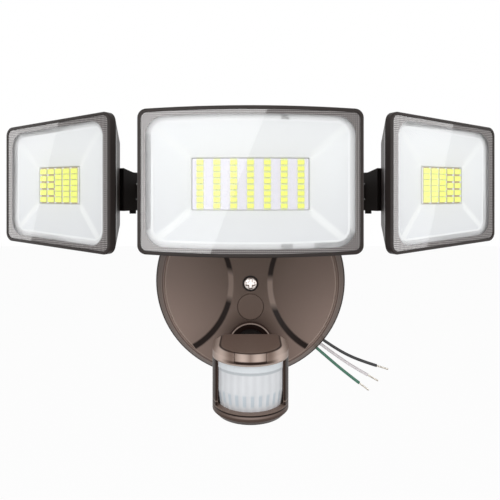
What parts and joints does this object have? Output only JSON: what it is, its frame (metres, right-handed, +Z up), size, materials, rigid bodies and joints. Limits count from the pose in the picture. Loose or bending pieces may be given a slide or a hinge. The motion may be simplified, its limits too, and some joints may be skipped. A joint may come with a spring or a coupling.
{
  "type": "motion sensor security light",
  "caption": "Wall-mounted outdoor floodlight: a wide lamp head between two smaller ones that turn on arms, a round wall plate, and a swivelling motion sensor below.",
  "frame": {"origin": "centre of the wall plate and of its box screws, in the plane of the wall", "axes": "+Z up, -Y forwards out of the wall, +X to the right seen from in front"},
  "size_m": [0.2994, 0.086, 0.1767],
  "materials": {
    "bronze_paint": "satin bronze brown powder coat",
    "housing_paint": "satin dark brown powder coat",
    "black_bracket": "satin black brown paint",
    "clear_lens": "clear polycarbonate, patterned border",
    "fresnel_film": "milky translucent polyethylene",
    "white_reflector": "white satin",
    "circuit_board": "white solder mask",
    "led_phosphor": "yellow phosphor gel",
    "black_rubber": "matte",
    "black_insulation": "soft vinyl",
    "white_insulation": "soft vinyl",
    "green_insulation": "soft vinyl",
    "tinned_copper": "tinned strands",
    "zinc_steel": "bright zinc plate",
    "black_plastic": "moulded black"
  },
  "bodies": {
    "wall_plate": {"wall_gasket": "black_rubber", "mounting_crossbar": "zinc_steel", "canopy": "bronze_paint", "centre_screw": "zinc_steel", "screw_seal": "black_rubber", "plug_cap": "bronze_paint", "hub": "bronze_paint", "hub_screws": "zinc_steel", "main_tilt_bolt": "zinc_steel", "main_tilt_nut": "zinc_steel", "driver_case": "black_plastic", "driver_board": "circuit_board", "lead_grommet": "black_rubber", "black_lead": "black_insulation", "white_lead": "white_insulation", "green_lead": "green_insulation", "black_lead_tip": "tinned_copper", "white_lead_tip": "tinned_copper", "green_lead_tip": "tinned_copper", "sensor_collar": "bronze_paint", "sensor_collar_nut": "black_plastic"},
    "main_head": {"main_housing": "housing_paint", "main_seal": "black_rubber", "main_lens": "clear_lens", "main_reflector": "white_reflector", "main_led_board": "circuit_board", "main_leds": "led_phosphor", "main_yoke": "black_bracket"},
    "left_arm": {"left_arm": "black_bracket"},
    "left_head": {"left_housing": "housing_paint", "left_seal": "black_rubber", "left_lens": "clear_lens", "left_reflector": "white_reflector", "left_led_board": "circuit_board", "left_leds": "led_phosphor", "left_bracket": "black_bracket", "left_pan_bolt": "zinc_steel"},
    "right_arm": {"right_arm": "black_bracket"},
    "right_head": {"right_housing": "housing_paint", "right_seal": "black_rubber", "right_lens": "clear_lens", "right_reflector": "white_reflector", "right_led_board": "circuit_board", "right_leds": "led_phosphor", "right_bracket": "black_bracket", "right_pan_bolt": "zinc_steel"},
    "sensor_arm": {"sensor_arm": "black_bracket"},
    "sensor": {"sensor_shell": "bronze_paint", "sensor_cap": "bronze_paint", "sensor_clip": "bronze_paint", "sensor_lens": "fresnel_film", "sensor_base": "bronze_paint", "sensor_board": "circuit_board", "heat_sensor": "zinc_steel", "sensor_tilt_pin": "zinc_steel", "sensor_screws": "zinc_steel"},
    "dial_time": {"dial_time": "black_plastic"},
    "dial_light": {"dial_light": "black_plastic"},
    "dial_range": {"dial_range": "black_plastic"}
  },
  "joints": [
    {"name": "main_tilt", "type": "hinge", "parent": "wall_plate", "child": "main_head", "pos_m": [0, -0.046, 0.0592], "axis": [1, 0, 0], "range_deg": [-20, 40]},
    {"name": "left_arm_roll", "type": "hinge", "parent": "wall_plate", "child": "left_arm", "pos_m": [-0.03, -0.028, 0.0592], "axis": [1, 0, 0], "range_deg": [-20, 40]},
    {"name": "left_head_pan", "type": "hinge", "parent": "left_arm", "child": "left_head", "pos_m": [-0.0725, -0.028, 0.0589], "axis": [0, 0, -1], "range_deg": [-12, 6]},
    {"name": "right_arm_roll", "type": "hinge", "parent": "wall_plate", "child": "right_arm", "pos_m": [0.03, -0.028, 0.0592], "axis": [1, 0, 0], "range_deg": [-20, 40]},
    {"name": "right_head_pan", "type": "hinge", "parent": "right_arm", "child": "right_head", "pos_m": [0.0725, -0.028, 0.0589], "axis": [0, 0, 1], "range_deg": [-12, 6]},
    {"name": "sensor_swivel", "type": "hinge", "parent": "wall_plate", "child": "sensor_arm", "pos_m": [0, -0.012, -0.039], "axis": [0, 0, 1], "range_deg": [-20, 20]},
    {"name": "sensor_tilt", "type": "hinge", "parent": "sensor_arm", "child": "sensor", "pos_m": [0, -0.0455, -0.039], "axis": [1, 0, 0], "range_deg": [-15, 30]},
    {"name": "time_dial_turn", "type": "hinge", "parent": "sensor", "child": "dial_time", "pos_m": [0.0075, -0.06, -0.0588], "axis": [0, 0, -1], "range_deg": [-135, 135]},
    {"name": "light_dial_turn", "type": "hinge", "parent": "sensor", "child": "dial_light", "pos_m": [0, -0.06, -0.0588], "axis": [0, 0, -1], "range_deg": [-135, 135]},
    {"name": "range_dial_turn", "type": "hinge", "parent": "sensor", "child": "dial_range", "pos_m": [-0.0075, -0.06, -0.0588], "axis": [0, 0, -1], "range_deg": [-135, 135]}
  ]
}
